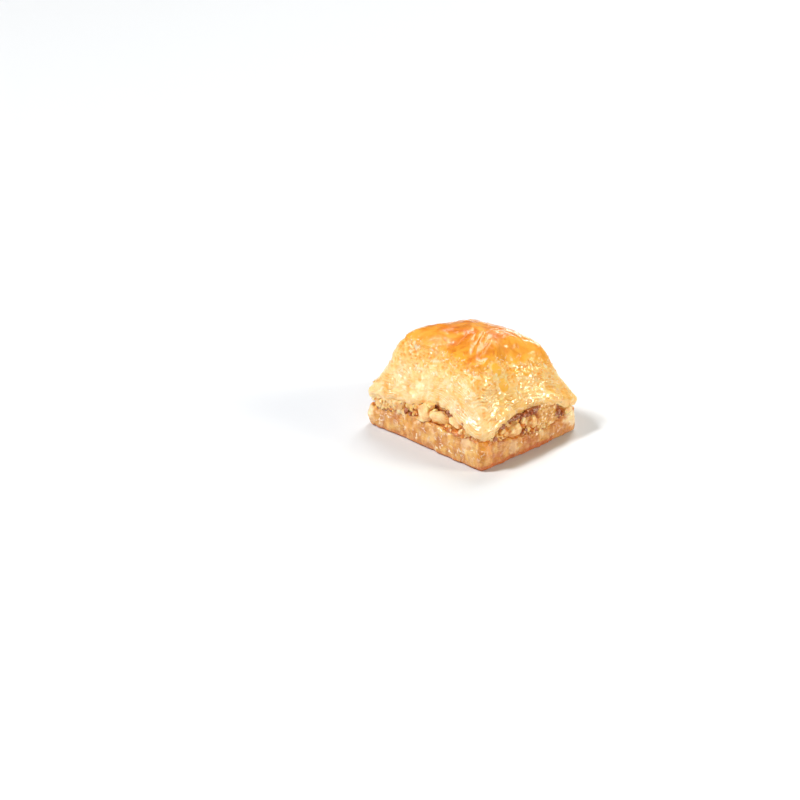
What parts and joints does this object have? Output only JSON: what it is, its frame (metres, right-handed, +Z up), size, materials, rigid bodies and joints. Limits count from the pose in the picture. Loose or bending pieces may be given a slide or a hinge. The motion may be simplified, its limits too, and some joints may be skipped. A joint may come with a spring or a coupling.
{
  "type": "baklava square",
  "caption": "Cut square of nut baklava: soaked bottom layers, chopped walnut filling and a puffed, glazed top whose corners droop over the cut sides.",
  "frame": {"origin": "middle of the underside, at the centre of the bounding box's bottom face", "axes": "+Z up, X along the longer cut side, Y along the shorter one"},
  "size_m": [0.0516, 0.0446, 0.0344],
  "materials": {
    "soaked_layers": "syrup-soaked pastry sheets, satin",
    "chopped_walnut": "broken walnut kernels, satin",
    "glazed_layers": "butter-glazed pastry, glossy crown and layered pale sides"
  },
  "bodies": {
    "root": {"bottom_pastry": "soaked_layers", "walnut_filling": "chopped_walnut", "top_pastry": "glazed_layers"}
  },
  "joints": []
}
